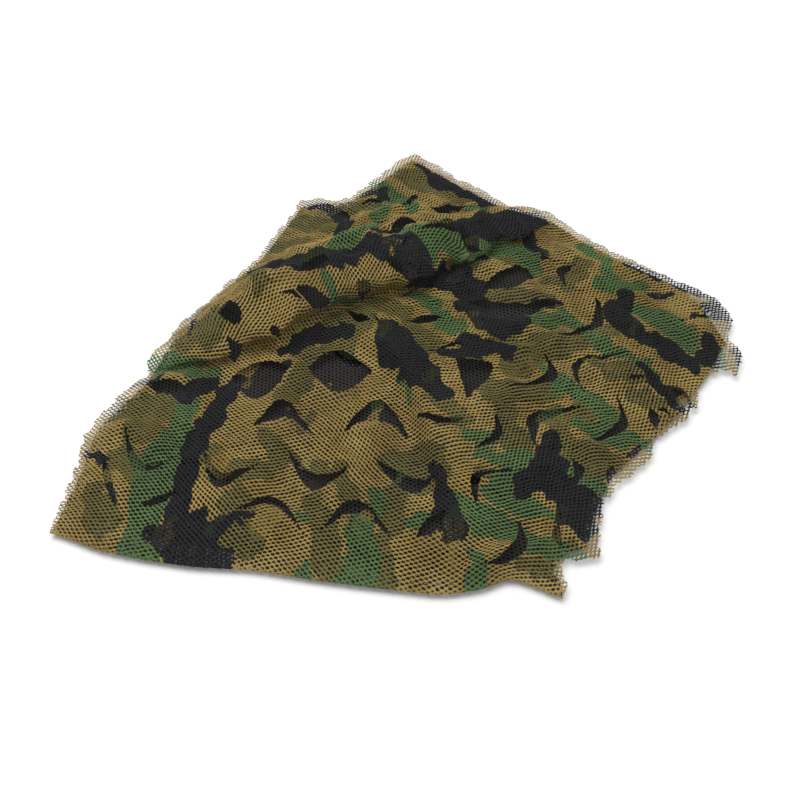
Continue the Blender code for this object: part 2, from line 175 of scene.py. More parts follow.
# Folds of the top layer: points of the crest, height, reach on the right and on the left.
ROLL = (
    # x, y, height, right, left
    (-212, 46, 8, 22, 36), (-186, 58, 20, 26, 46), (-162, 71, 31, 30, 56),
    (-132, 88, 39, 34, 70), (-92, 111, 43, 30, 86), (-47, 135, 41, 30, 96),
    (0, 157, 38, 32, 100), (39, 179, 31, 24, 84), (79, 207, 21, 24, 56),
    (116, 229, 12, 22, 36), (150, 238, 3, 18, 24),
)
PANEL_CREST = (
    # x, y, height, right, left
    (-56, 92, 4, 40, 46), (-37, 74, 10, 34, 76), (-12, 44, 15, 26, 104),
    (6, 8, 18, 18, 120), (18, -28, 18, 15, 124), (26, -62, 16, 14, 120),
    (34, -94, 13, 14, 104), (40, -126, 9, 16, 84), (46, -160, 5, 20, 56),
)
SMALL_FOLDS = (
    # x, y, height, right, left
    ((-262, -60, 3, 12, 18), (-240, -44, 7, 12, 18), (-214, -52, 3, 12, 18)),
    ((-236, -2, 3, 10, 20), (-208, 10, 8, 12, 20), (-176, 8, 4, 14, 24)),
    ((-230, -116, 2, 22, 22), (-206, -60, 5, 22, 26), (-190, -14, 2, 20, 24)),
    ((-150, -150, 2, 26, 26), (-130, -90, 5, 26, 30), (-128, -30, 2, 24, 28)),
    ((-64, -160, 2, 24, 24), (-50, -110, 4, 24, 30), (-62, -56, 2, 22, 28)),
    ((64, 160, 3, 14, 22), (96, 132, 9, 16, 28), (140, 112, 3, 18, 30)),
    ((126, 188, 2, 14, 20), (160, 166, 6, 14, 24), (204, 160, 2, 14, 22)),
    ((88, 36, 2, 20, 26), (146, 58, 6, 18, 26), (214, 66, 2, 18, 24)),
    ((150, -22, 2, 14, 26), (190, 6, 6, 16, 26), (236, 44, 3, 16, 26)),
    ((82, -60, 2, 20, 20), (104, -96, 5, 18, 22), (112, -140, 2, 16, 20)),
    ((52, -192, 3, 10, 12), (76, -174, 9, 10, 16), (112, -164, 3, 12, 18)),
    ((-60, 214, 3, 20, 20), (-6, 240, 8, 18, 26), (56, 246, 4, 16, 22)),
    ((-150, 118, 2, 20, 20), (-96, 176, 5, 22, 24), (-72, 226, 2, 20, 22)),
    ((256, 148, 2, 10, 14), (228, 160, 7, 10, 16), (200, 178, 2, 10, 14)),
    ((240, 96, 2, 16, 22), (270, 74, 5, 16, 22), (298, 88, 2, 12, 16)),
)

# Leaf cuts: each leaf hangs from its two tips and leaves open a bowed gap between the fixed side
# and its own side.
LEAF_CUTS = (
    # x1, y1, x and y of the fixed side's middle, of the leaf's side's middle, x2, y2
    (-226, 4, -206, 8, -208, -7, -188, -1), (-238, -44, -220, -93, -215, -85, -185, -71),
    (-254, -71, -246, -103, -240, -101, -232, -129), (-214, -125, -199, -117, -198, -122, -182, -110),
    (-128, -50, -104, -16, -101, -37, -74, -56), (-49, -51, -18, -15, -17, -35, 10, -64),
    (-83, 26, -55, 45, -55, -9, -25, 20), (-151, 13, -127, 33, -127, -10, -100, 23),
    (-168, -68, -150, -110, -145, -98, -115, -83), (-95, -70, -72, -113, -67, -101, -38, -83),
    (-23, -76, 5, -113, 7, -101, 30, -100), (12, -40, 34, -45, 35, -55, 58, -43),
    (-156, 80, -146, 71, -164, 65, -152, 63), (-163, 56, -146, 51, -160, 45, -151, 33),
    (-50, 93, -38, 85, -40, 79, -26, 74), (5, 77, 23, 85, 23, 78, 41, 85),
    (-44, 118, -48, 113, -36, 118, -34, 106), (-138, -134, -103, -119, -104, -125, -76, -159),
    (-65, -154, -35, -123, -35, -134, -6, -160), (13, -157, 22, -141, 29, -155, 37, -135),
    (-91, 112, -85, 150, -82, 111, -67, 117), (-98, 96, -86, 103, -86, 90, -74, 101),
    (-188, 79, -189, 64, -191, 66, -193, 52), (-91, 256, -53, 244, -62, 234, -62, 205),
    (-41, 259, -26, 266, -24, 256, -7, 239), (-13, 177, -1, 207, 2, 186, 16, 202),
    (10, 242, 7, 262, 14, 248, 16, 269), (29, 249, 49, 245, 50, 232, 70, 251),
    (38, 181, 48, 190, 48, 184, 59, 193), (23, 32, 42, 44, 42, 38, 60, 51),
    (79, 128, 114, 161, 106, 123, 131, 142), (172, 164, 153, 153, 161, 151, 160, 129),
    (137, 171, 143, 173, 144, 166, 149, 166), (62, 109, 108, 109, 104, 95, 154, 106),
    (186, 123, 187, 75, 179, 83, 143, 59), (216, 43, 160, 34, 166, 29, 163, -5),
    (131, 44, 139, 10, 130, 15, 91, -4), (158, -23, 113, -31, 124, -38, 116, -67),
    (80, -29, 86, -61, 80, -57, 59, -75), (191, -5, 197, -43, 190, -38, 162, -56),
    (198, 8, 215, 15, 215, 10, 232, 11), (244, 3, 256, -2, 245, -13, 253, -17),
    (227, -21, 234, -19, 233, -28, 239, -32), (220, -20, 226, -29, 217, -32, 223, -41),
    (262, 82, 280, 96, 279, 89, 297, 101), (103, -95, 61, -103, 68, -107, 65, -137),
    (94, -137, 100, -170, 92, -165, 66, -185), (130, -141, 123, -154, 129, -154, 130, -166),
    (146, -76, 155, -88, 145, -92, 146, -105), (180, -81, 182, -90, 173, -92, 174, -101),
    (208, -58, 203, -69, 199, -67, 192, -73), (50, 26, 83, 21, 54, 1, 58, -22),
    (-18, 137, -8, 142, -13, 133, -5, 139),
    (-112, 89, -101, 94, -103, 90, -96, 91), (-128, 69, -122, 73, -123, 65, -109, 60),
    (19, 170, 39, 181, 39, 176, 57, 185), (61, 197, 63, 183, 57, 179, 69, 165),
    (-26, 85, -13, 71, -16, 66, -2, 57), (-8, 114, 13, 126, 11, 122, 28, 142),
)
# The larger leaf cuts of each layer below.
UNDER_CUTS = (
    # columns as in LEAF_CUTS
    (-208, -104, -180, -72, -180, -80, -152, -100), (-88, -96, -62, -128, -62, -120, -36, -98),
    (32, -120, 60, -94, 60, -102, 88, -118), (96, 20, 112, -12, 112, -3, 146, 0),
    (-66, 62, -42, 34, -42, 42, -12, 58), (0, 188, 14, 218, 20, 210, 48, 208),
)
CUT_BOW = 1.7  # weight of the middle, which makes the sides straighter
CUT_POINTS = 17
LEAF_REACH = 30.0  # a leaf is bent this far round its cut
LEAF_BEND = 9.0  # and its lift falls off over this distance
LEAF_TIPS = 1.2  # power that keeps the bend off the leaf's tips
LEAF_LIFT = (2.5, 6.5)
LEAF_UP = 0.6  # share of the leaves that rise
LEAF_DOWN = -0.6  # the others sink by this share of their lift

# Blotches of the print, each a band from one round end to another; some black ones in the valleys by the
# roll also paint in the shade there.
PRINT_JOIN = 2.2  # softness with which they join
BLACK = (
    # x1, y1, radius there, x2, y2, radius there
    (-140, 152, 9, -108, 125, 16), (-108, 125, 16, -72, 130, 17), (-72, 130, 17, -48, 140, 14),
    (-48, 140, 14, -24, 147, 10), (-24, 147, 9, 20, 159, 6), (-91, 260, 6, -72, 254, 7),
    (-72, 254, 7, -55, 223, 7), (-55, 223, 7, -60, 173, 4), (-152, -4, 8, -163, -35, 10),
    (-163, -35, 10, -174, -65, 10), (-174, -65, 10, -180, -101, 8), (-180, -101, 7, -184, -141, 9),
    (-202, -153, 8, -172, -167, 14), (-172, -167, 15, -139, -177, 8), (-169, -158, 11, -144, -146, 7),
    (-144, -146, 7, -122, -133, 3), (-174, -136, 4, -161, -134, 4), (-164, -146, 7, -156, -164, 13),
    (-186, -4, 8, -168, 4, 8), (-214, -2, 4, -188, -11, 6), (-238, 8, 4, -216, 13, 6),
    (-143, 8, 10, -124, 15, 11), (-124, 15, 11, -104, 26, 7), (-106, 46, 7, -82, 64, 11),
    (-82, 64, 11, -50, 68, 9), (-14, 70, 9, -7, 31, 13), (-5, 50, 15, 19, 2, 16),
    (19, 2, 15, 38, -21, 8), (1, 136, 8, 38, 142, 12), (24, 140, 8, 60, 146, 11), (38, 142, 13, 73, 125, 14),
    (65, 103, 13, 94, 82, 20), (94, 82, 20, 107, 82, 15), (62, 53, 11, 98, 41, 10),
    (36, 31, 4, 68, 35, 8), (112, 104, 4, 150, 106, 6), (54, 189, 8, 100, 217, 14),
    (100, 217, 14, 140, 233, 12), (120, 220, 10, 130, 196, 8), (130, 193, 7, 143, 175, 6),
    (56, 164, 6, 84, 171, 4), (216, 117, 10, 205, 95, 12), (205, 95, 11, 221, 69, 9),
    (221, 69, 8, 244, 49, 10), (244, 49, 10, 268, 29, 8), (240, 121, 3, 262, 124, 4),
    (272, 87, 3, 296, 101, 8), (296, 101, 9, 311, 97, 9), (223, 161, 4, 258, 149, 6),
    (258, 149, 6, 290, 131, 8), (290, 131, 8, 307, 111, 9), (286, 65, 6, 289, 53, 7),
    (277, 44, 7, 286, 38, 7), (217, 28, 4, 227, 14, 6), (227, 7, 6, 236, 3, 4),
    (246, -3, 9, 253, -14, 9), (130, -59, 9, 125, -86, 12), (125, -86, 12, 102, -112, 9),
    (120, -103, 12, 144, -118, 15), (144, -118, 15, 160, -123, 12), (140, -135, 13, 149, -145, 12),
    (28, -92, 4, 36, -119, 7), (36, -119, 7, 44, -153, 8), (32, -136, 9, 42, -157, 9),
    (-37, 273, 4, -28, 280, 7), (-19, 283, 4, -17, 265, 6), (5, 244, 3, 17, 267, 3),
    (19, 329, 4, 44, 293, 8), (44, 293, 8, 94, 261, 6), (-12, 179, 7, 12, 201, 3),
    (-25, 179, 4, -19, 166, 4), (310, 53, 6, 313, 41, 6), (-265, -68, 4, -252, -80, 4),
)
GREEN = (
    # columns as in BLACK
    (-23, 292, 9, -4, 266, 11), (-2, 260, 10, 12, 238, 7), (-23, 226, 9, -16, 244, 8),
    (-66, 157, 6, -48, 164, 10), (-48, 164, 10, -28, 197, 10), (2, 173, 11, 29, 177, 13),
    (29, 177, 13, 54, 188, 11), (12, 157, 8, 43, 173, 7), (70, 243, 7, 86, 251, 7),
    (55, 179, 12, 96, 202, 11), (70, 185, 10, 124, 183, 10), (124, 181, 9, 132, 154, 9),
    (1, 129, 4, 13, 146, 6), (16, 116, 8, 32, 104, 9), (34, 85, 11, 48, 75, 15),
    (96, 85, 4, 101, 76, 4), (2, 8, 4, 10, -20, 4), (-214, 29, 11, -186, 32, 10),
    (-184, 16, 9, -168, 19, 7), (-186, -8, 9, -188, -44, 9), (-188, -44, 9, -199, -76, 14),
    (-199, -76, 15, -206, -117, 16), (-206, -117, 16, -209, -145, 13),
    (-215, -165, 12, -202, -169, 11), (-227, 35, 7, -218, 37, 7), (-31, -137, 11, -30, -187, 13),
    (-30, -187, 13, -43, -199, 10), (-18, -115, 6, -17, -130, 6), (59, -194, 9, 58, -206, 10),
    (59, -175, 6, 62, -188, 7), (-77, -190, 6, -74, -179, 3), (10, -143, 7, 29, -142, 8),
    (47, -129, 9, 68, -145, 14), (68, -145, 14, 96, -158, 10), (96, -158, 9, 118, -171, 7),
    (76, -117, 8, 94, -127, 9), (94, -127, 9, 122, -136, 6), (83, -107, 8, 103, -97, 8),
    (71, -80, 8, 94, -89, 8), (55, -62, 6, 79, -64, 7), (101, -77, 7, 109, -80, 7),
    (144, 2, 8, 169, -15, 9), (169, -15, 9, 188, -37, 9), (174, -57, 8, 214, -57, 8),
    (156, -40, 7, 173, -46, 7), (139, -98, 7, 164, -106, 9), (182, 195, 7, 194, 176, 6),
    (193, 139, 10, 228, 136, 10), (228, 97, 10, 248, 82, 12), (248, 82, 13, 268, 56, 10),
    (293, 51, 7, 295, 38, 7), (118, 87, 9, 140, 85, 9), (150, 92, 7, 166, 76, 6),
    (175, 61, 7, 188, 50, 7), (200, 41, 6, 220, 32, 7), (218, 29, 4, 230, 19, 4),
    (130, 23, 6, 143, 9, 7), (204, 175, 4, 202, 155, 4), (-82, -134, 3, -76, -142, 4),
    (127, -170, 6, 144, -172, 6), (-74, 107, 4, -70, 107, 3), (-73, 98, 4, -42, 106, 4),
    (116, -161, 6, 128, -166, 6),
)
OLIVE = (
    # columns as in BLACK
    (-4, 316, 7, 22, 296, 19), (22, 296, 19, 54, 271, 10), (-52, 256, 10, -29, 253, 9),
    (-102, 232, 12, -74, 219, 19), (-125, 195, 10, -98, 193, 11), (-149, 142, 9, -127, 97, 10),
    (-197, 97, 7, -173, 92, 9), (-204, 47, 6, -186, 57, 7), (-179, 57, 8, -163, 64, 7),
    (-24, 103, 11, 1, 93, 10), (-59, 77, 14, -44, 64, 14), (-50, 46, 11, -64, 49, 9),
    (-40, 92, 8, -28, 76, 8),
    (-247, -19, 15, -206, -23, 16), (-227, -50, 13, -199, -56, 10), (-238, -74, 13, -220, -93, 13),
    (-256, -110, 10, -245, -145, 10), (-240, -122, 8, -234, -140, 7), (-100, -9, 14, -79, 23, 12),
    (-91, 44, 9, -74, 35, 7), (-113, -58, 10, -96, -80, 11), (-133, -95, 14, -115, -93, 10),
    (-136, -124, 13, -130, -151, 10), (-140, -160, 9, -120, -164, 11), (-72, -123, 9, -60, -148, 11),
    (-60, -161, 13, -55, -188, 13), (-10, -123, 15, -5, -147, 11), (-7, -83, 12, 22, -82, 13),
    (22, -82, 13, 34, -101, 9), (4, -100, 10, 20, -107, 10), (34, -51, 7, 60, -46, 6),
    (67, 115, 8, 104, 116, 9), (104, 116, 9, 143, 113, 7), (170, 149, 11, 179, 164, 10),
    (143, 139, 6, 164, 131, 6), (91, 50, 12, 146, 53, 14), (146, 53, 13, 182, 61, 9),
    (79, -8, 14, 131, -5, 11), (103, 25, 14, 132, 44, 13), (190, 15, 11, 224, 16, 9),
    (176, 32, 8, 216, 19, 8), (92, -26, 10, 95, -68, 11), (104, -62, 10, 106, -73, 9),
    (136, -33, 13, 175, -27, 7), (138, -47, 10, 146, -75, 12), (157, -70, 11, 180, -80, 11),
    (168, -88, 9, 161, -94, 8), (209, -8, 9, 230, -13, 10), (41, 244, 6, 73, 269, 4),
    (89, 176, 8, 68, 155, 7), (85, 185, 7, 114, 166, 7), (-164, -81, 6, -158, -70, 6),
    (127, -170, 7, 140, -166, 7), (10, 73, 11, 23, 38, 10), (23, 38, 9, 36, 47, 8),
    (269, 70, 6, 277, 56, 4), (26, -25, 8, 47, -34, 7), (-86, -49, 7, -77, -32, 7),
    (-50, -94, 8, -41, -123, 8), (-68, -88, 6, -65, -104, 7), (66, -99, 7, 82, -103, 6),
    (103, -183, 8, 118, -188, 9), (-16, -165, 8, -12, -195, 9), (205, 81, 6, 190, 62, 7),
)
# Loose print of the layers below, for black, green and olive: start, rows for waves(). The black's high
# start makes these layers mostly black: painted shade for what shows through the top layer's holes and cuts,
# over some real black print.
UNDER_PRINT_AND_SHADE = ((13.5, ((9.0, 52.0, 9, 61), (3.15, 20.8, 9, 71))),
               (-2.7, ((9.0, 60.0, 9, 62), (3.15, 24.0, 9, 72))),
               (-0.9, ((9.0, 60.0, 9, 63), (3.15, 24.0, 9, 73))))


# -------- plan geometry

def waves(points, rows):
    """Smooth noise: for each row a few sine waves in seeded directions, of about that height."""
    noise = np.zeros(len(points))
    for height, wavelength, count, seed in rows:
        rng = np.random.default_rng(seed)
        total = np.zeros(len(points))
        for _ in range(count):
            turn = rng.uniform(0.0, 2.0 * math.pi)
            length = wavelength * rng.uniform(0.7, 1.5)
            phase = rng.uniform(0.0, 2.0 * math.pi)
            along = points[:, 0] * math.cos(turn) + points[:, 1] * math.sin(turn)
            total += np.sin(2.0 * math.pi * along / length + phase)
        noise += height * total / math.sqrt(0.5 * count)
    return noise


def right_of(points, start, slope, soft):
    """Soft share, 0 on the left and 1 on the right of the line x + slope * y = start."""
    return 1.0 / (1.0 + np.exp(-(points[:, 0] - start + slope * points[:, 1]) / soft))


def cross(one, two):
    """Signed area between two vectors of the plane, row by row."""
    return one[:, 0] * two[:, 1] - one[:, 1] * two[:, 0]


def near_line(points, line):
    """Number of the line's stretch nearest to each point, share along it, way off it and distance."""
    best = np.full(len(points), FAR)
    stretch = np.zeros(len(points), int)
    along = np.zeros(len(points))
    away = np.zeros_like(points)
    for number, (a, b) in enumerate(zip(line[:-1], line[1:])):
        run = b - a
        share = np.clip(((points - a) @ run) / (run @ run), 0.0, 1.0)
        off = points - a - share[:, None] * run
        dist = np.hypot(off[:, 0], off[:, 1])
        near = dist < best
        stretch[near] = number
        for kept, found in ((best, dist), (along, share), (away, off)):
            kept[near] = found[near]
    return stretch, along, away, best


def closed(outline):
    """A closed outline as a line that ends where it begins."""
    return np.vstack((outline, outline[:1]))


def edge_distance(points, outline):
    """Distance from each point to the closed outline."""
    return near_line(points, closed(outline))[3]


def fold_height(points, rows, steep=0.0, sharp=0.0):
    """Height of one fold line at each point, the signed distance to its crest, and its reach.

    A steep fold falls round and meets the cloth below at a crease on its right.
    A sharp fold has a crease along its crest.
    """
    line = np.array(rows, float)
    stretch, along, away, dist = near_line(points, line[:, :2])
    step = line[stretch + 1] - line[stretch]
    height, right, left = (line[stretch] + along[:, None] * step)[:, 2:].T
    on_left = cross(step, away) > 0.0
    reach = np.where(on_left, left, right)
    share = np.clip(dist / reach, 0.0, 1.0)
    fall = 0.5 + 0.5 * np.cos(math.pi * share)
    fall += steep * ~on_left * (1.0 - share ** 2 - fall)
    fall += sharp * ((1.0 - share) ** CREASE_POWER - fall)
    return height * fall, np.where(on_left, dist, -dist), reach


def inside(points, outline):
    """Whether each point lies inside the closed outline."""
    found = np.zeros(len(points), bool)
    for (x1, y1), (x2, y2) in zip(outline, np.roll(outline, -1, axis=0)):
        if y1 == y2:
            continue
        across = (y1 > points[:, 1]) != (y2 > points[:, 1])
        crossing = x1 + (points[:, 1] - y1) * (x2 - x1) / (y2 - y1)
        found ^= across & (points[:, 0] < crossing)
    return found


def rounded(line, step):
    """An open line with points no further apart than the step, and its corners rounded off."""
    spots = [line[0]]
    for a, b in zip(line[:-1], line[1:]):
        count = max(1, math.ceil(np.hypot(*(b - a)) / step))
        spots.extend(a + (b - a) * (i + 1) / count for i in range(count))
    soft = np.array(spots)
    for _ in range(ROUND_PASSES):
        soft[1:-1] = 0.25 * soft[:-2] + 0.5 * soft[1:-1] + 0.25 * soft[2:]
    return soft


# -------- the folded sheet

def top_rise(points, outline):
    """Rise of the top layer over its lowest height, its forward lean, and the roll's height."""
    rise = BODY_RISE * (1.0 - np.exp(-edge_distance(points, outline) / BODY_REACH))
    roll, offset, reach = fold_height(points, ROLL, 1.0)
    rise = rise + roll * (1.0 + waves(points, LOBES))
    rise = rise + fold_height(points, PANEL_CREST, sharp=CREST_SHARP)[0]
    for rows in SMALL_FOLDS:
        rise = rise + SMALL_RISE * fold_height(points, rows, sharp=CREST_SHARP)[0]
    front = np.clip(-offset / reach, 0.0, 1.0)
    fullness = np.clip(roll / ROLL_FULL, 0.0, 1.0) * (offset < 0.0)
    lean = ROLL_LEAN * np.sin(math.pi * front ** LEAN_LOW) ** 2 * fullness
    return rise, lean * (1.0 + waves(points, LEAN_NOISE)), roll


def top_place(points, outline):
    """The top layer over each plan point."""
    rise, lean, _ = top_rise(points, outline)
    edge = edge_distance(points, outline)
    rear_side = points[:, 1] > np.interp(points[:, 0], FRONT_X, FRONT_Y) + FRONT_CLEAR
    drop = EDGE_DROP * np.exp(-edge / EDGE_REACH) * rear_side
    ripple = waves(points, RIPPLES) * (RIPPLE_LEFT + RIPPLE_MORE * right_of(points, *RIPPLE_SPLIT))
    height = TOP_Z + rise - drop + ripple * (1.0 - np.exp(-edge / RIPPLE_REACH))
    x = points[:, 0] + LEAN_X * lean
    y = points[:, 1] + LEAN_Y * lean
    return np.column_stack((x, y, height))


def middle_place(points, outline):
    """The middle layer, a calmer copy of the top layer."""
    rise, _, roll = top_rise(points, outline)
    calm = MIDDLE_SHARE * (rise - roll) + MIDDLE_ROLL * roll
    held = 1.0 - np.exp(-edge_distance(points, outline) / BODY_REACH)
    ripple = waves(points, MIDDLE_RIPPLES) * held
    return np.column_stack((points, MIDDLE_Z + calm * held + ripple))


def bottom_place(points):
    """The bottom layer, flat just over the floor."""
    return np.column_stack((points, np.full(len(points), BOTTOM_Z)))


def grid_points(outline, step):
    """Staggered grid of points inside the outline, clear of its edge."""
    low = outline.min(axis=0)
    high = outline.max(axis=0)
    rows = []
    y = low[1] + 0.5 * step
    shift = 0.0
    while y < high[1]:
        xs = np.arange(low[0] + shift + GRID_START * step, high[0], step)
        rows.append(np.column_stack((xs, np.full(len(xs), y))))
        y += step * ROW_RATIO
        shift = 0.5 * step - shift
    points = np.vstack(rows)
    return points[inside(points, outline) & (edge_distance(points, outline) > GRID_CLEAR * step)]


def on_roll_face(points):
    """Whether each point is on the steep face of the roll or just by it."""
    _, offset, reach = fold_height(points, ROLL)
    ends = fold_height(points, [(x, y, 1, ROLL_ENDS, ROLL_ENDS) for x, y, *_ in ROLL])[0] > 0.0
    return ends & (offset > -ROLL_FACE * reach) & (offset < ROLL_BACK)


def layer_mesh(outline, loose):
    """Triangles between the outline and the loose points."""
    verts = np.vstack((outline, loose))
    edges = [(i, (i + 1) % len(outline)) for i in range(len(outline))]
    flat = [Vector((float(x), float(y))) for x, y in verts]
    points, _, faces, _, _, _ = delaunay_2d_cdt(flat, edges, [], 1, 1e-4)
    points = np.array([(p.x, p.y) for p in points])
    faces = np.array([f for f in faces if len(f) == 3])
    return points, faces[inside(points[faces].mean(axis=1), outline)]


def same_way(points, faces):
    """The triangles, each turned the same way round on the plane."""
    a, b, c = (points[faces[:, k]] for k in range(3))
    return np.where(cross(b - a, c - a)[:, None] < 0.0, faces[:, ::-1], faces)


def mirror(points, line, gap):
    """Points mirrored in the line, chord and bulge, and moved on by the gap."""
    a, b = line[0], line[-1]
    run = (b - a) / np.hypot(*(b - a))
    across = np.array((-run[1], run[0]))
    along = (points - a) @ run
    off = (points - a) @ across
    line_along = (line - a) @ run
    order = np.argsort(line_along)
    bulge = np.interp(along, line_along[order], ((line - a) @ across)[order])
    moved = 2.0 * bulge - off - gap * np.sign(off.mean())
    return a + along[:, None] * run + moved[:, None] * across


def fold_rails(upper, lower, out):
    """Rows of points round a half-round fold from the upper line to the lower one."""
    rails = []
    for step in range(1, FOLD_SEGMENTS):
        turn = math.pi * step / FOLD_SEGMENTS
        half = 0.5 * (upper - lower)
        size = np.linalg.norm(half, axis=1)[:, None]
        rails.append(0.5 * (upper + lower) + half * math.cos(turn) + out * size * math.sin(turn))
    return rails


def to_right(line):
    """Level unit vectors to the right of a line of points, one at each."""
    run = np.gradient(line, axis=0)
    return np.column_stack((run[:, 1], -run[:, 0])) / np.hypot(run[:, 0], run[:, 1])[:, None]


def nearest(points, targets):
    """Index of the point at each target."""
    return np.array([int(np.argmin(((points - t) ** 2).sum(axis=1))) for t in targets])


def folded_sheet():
    """The folded sheet: places, plan points, first flat guess, layers, triangles, folds, top edge."""
    top_line = np.array(TOP_OUTLINE, float)
    front = rounded(top_line[:FRONT_COUNT], FRONT_STEP)
    side = rounded(top_line[FRONT_COUNT - 1:], SIDE_STEP)
    back = rounded(np.vstack((top_line[-1], top_line[0])), SIDE_STEP)
    top_outline = np.vstack((front, side[1:], back[1:-1]))
    rim = np.array(MIDDLE_RIM, float)
    rear = rounded(rim[REAR_FIRST:REAR_LAST + 1], REAR_STEP)
    middle_outline = np.vstack((front, rim[:REAR_FIRST], rear, rim[REAR_LAST + 1:]))
    bottom_outline = np.vstack((rear, rounded(np.array(BOTTOM_RIM, float), UNDER_STEP)))

    coarse = grid_points(top_outline, TOP_STEP)
    fine = grid_points(top_outline, ROLL_STEP)
    loose = np.vstack((coarse[~on_roll_face(coarse)], fine[on_roll_face(fine)]))
    top_plan, top_faces = layer_mesh(top_outline, loose)
    mid_plan, mid_faces = layer_mesh(middle_outline, grid_points(middle_outline, UNDER_STEP))
    low_plan, low_faces = layer_mesh(bottom_outline, grid_points(bottom_outline, UNDER_STEP))
    top_at = top_place(top_plan, top_outline)
    mid_at = middle_place(mid_plan, top_outline)
    low_at = bottom_place(low_plan)
    front_gap = 0.5 * math.pi * (TOP_Z - MIDDLE_Z)
    rear_gap = 0.5 * math.pi * (MIDDLE_Z - BOTTOM_Z)
    mid_flat = mirror(mid_plan, front, front_gap)
    rear_flat = mirror(np.vstack((rear, mid_plan)), front, front_gap)[:len(rear)]
    low_flat = mirror(np.vstack((low_plan, mid_plan)), front, front_gap)[:len(low_plan)]
    low_flat = mirror(low_flat, rear_flat, rear_gap)

    places, plans, flats, layers, faces, folds = [], [], [], [], [], []

    def add(at, plan, flat, layer, tris):
        first = sum(len(p) for p in places)
        places.append(at)
        plans.append(plan)
        flats.append(flat)
        layers.append(np.full(len(at), float(layer)))
        if tris is not None:
            faces.append(tris + first)
        return first

    top_first = add(top_at, top_plan, top_plan, 0, top_faces)
    mid_first = add(mid_at, mid_plan, mid_flat, 1, mid_faces)
    low_first = add(low_at, low_plan, low_flat, 2, low_faces)

    def join(upper, lower, line, layer):
        all_at = np.vstack(places)
        all_flat = np.vstack(flats)
        rails = fold_rails(all_at[upper], all_at[lower], np.pad(to_right(line), ((0, 0), (0, 1))))
        rows = [upper]
        for step, rail in enumerate(rails, 1):
            share = step / FOLD_SEGMENTS
            flat = all_flat[upper] * (1.0 - share) + all_flat[lower] * share
            first = add(rail, line, flat, layer + share, None)
            rows.append(np.arange(first, first + len(line)))
        rows.append(lower)
        folds.append(rows)
        for one, two in zip(rows[:-1], rows[1:]):
            a, b, c, d = one[:-1], two[:-1], two[1:], one[1:]
            faces.append(np.vstack((np.column_stack((a, b, c)), np.column_stack((a, c, d)))))

    join(top_first + nearest(top_plan, front), mid_first + nearest(mid_plan, front), front, 0)
    join(mid_first + nearest(mid_plan, rear), low_first + nearest(low_plan, rear), rear, 1)
    return (np.vstack(places), np.vstack(plans), np.vstack(flats), np.concatenate(layers),
            np.vstack(faces), folds, top_outline)


def sides(faces):
    """The three sides of each triangle, each with its lower point number first."""
    return np.sort(np.vstack((faces[:, (0, 1)], faces[:, (1, 2)], faces[:, (2, 0)])), axis=1)


def hinges(places, faces):
    """Far corners of each two triangles that share a side, and how far apart they are laid flat."""
    edges = sides(faces)
    far = np.concatenate((faces[:, 2], faces[:, 0], faces[:, 1]))
    order = np.lexsort((edges[:, 1], edges[:, 0]))
    edges, far = edges[order], far[order]
    same = np.flatnonzero((edges[1:] == edges[:-1]).all(axis=1))
    a, b = places[edges[same, 0]], places[edges[same, 1]]
    length = np.linalg.norm(b - a, axis=1)

    def on_edge(corner):
        to_a = ((corner - a) ** 2).sum(axis=1)
        to_b = ((corner - b) ** 2).sum(axis=1)
        along = (to_a - to_b + length ** 2) / (2.0 * length)
        return along, np.sqrt(np.maximum(to_a - along ** 2, 0.0))

    one, two = far[same], far[same + 1]
    along_one, high_one = on_edge(places[one])
    along_two, high_two = on_edge(places[two])
    return one, two, np.hypot(along_one - along_two, high_one + high_two)


def laid_flat(places, flat, faces, folds):
    """The sheet spread flat with its edges at the lengths that they have when folded."""
    def across(points, rows):
        return to_right(points[rows[0]] + points[rows[-1]])

    widths = [((flat[rows[-1]] - flat[rows[0]]) * across(flat, rows)).sum(axis=1).mean()
              for rows in folds]
    upper = np.concatenate([rows[0] for rows in folds])
    lower = np.concatenate([rows[-1] for rows in folds])
    pairs = np.unique(sides(faces), axis=0)
    length = np.linalg.norm(places[pairs[:, 0]] - places[pairs[:, 1]], axis=1)
    far_one, far_two, far_length = hinges(places, faces)
    one = np.concatenate((pairs[:, 0], far_one, upper))
    two = np.concatenate((pairs[:, 1], far_two, lower))
    start = np.hypot(*(flat[one] - flat[two]).T)
    goal = np.concatenate((length, far_length, start[-len(upper):]))
    firm = np.ones(len(one))
    firm[-len(upper):] = FOLD_FIRM
    count = len(flat)
    links = np.bincount(one, firm, count) + np.bincount(two, firm, count)
    speed = np.zeros_like(flat)
    spread = flat.copy()
    for step in range(RELAX_STEPS):
        grown = min(1.0, step / (RELAX_GROW * RELAX_STEPS))
        rest = start + grown * (goal - start)
        run = spread[two] - spread[one]
        length = np.hypot(run[:, 0], run[:, 1]) + TINY
        pull = run * (0.5 * firm * (length - rest) / length)[:, None]
        level = np.vstack([across(spread, rows) * width for rows, width in zip(folds, widths)])
        pull[-len(upper):] = 0.5 * FOLD_FIRM * (run[-len(upper):] - level)
        push = np.column_stack([
            np.bincount(one, pull[:, k], count) - np.bincount(two, pull[:, k], count)
            for k in range(2)
        ])
        speed = RELAX_KEEP * speed + RELAX_PUSH * push / links[:, None]
        spread += speed
    for rows in folds:
        for step, rail in enumerate(rows):
            share = step / FOLD_SEGMENTS
            spread[rail] = spread[rows[0]] * (1.0 - share) + spread[rows[-1]] * share
    return spread


# -------- the net on the sheet

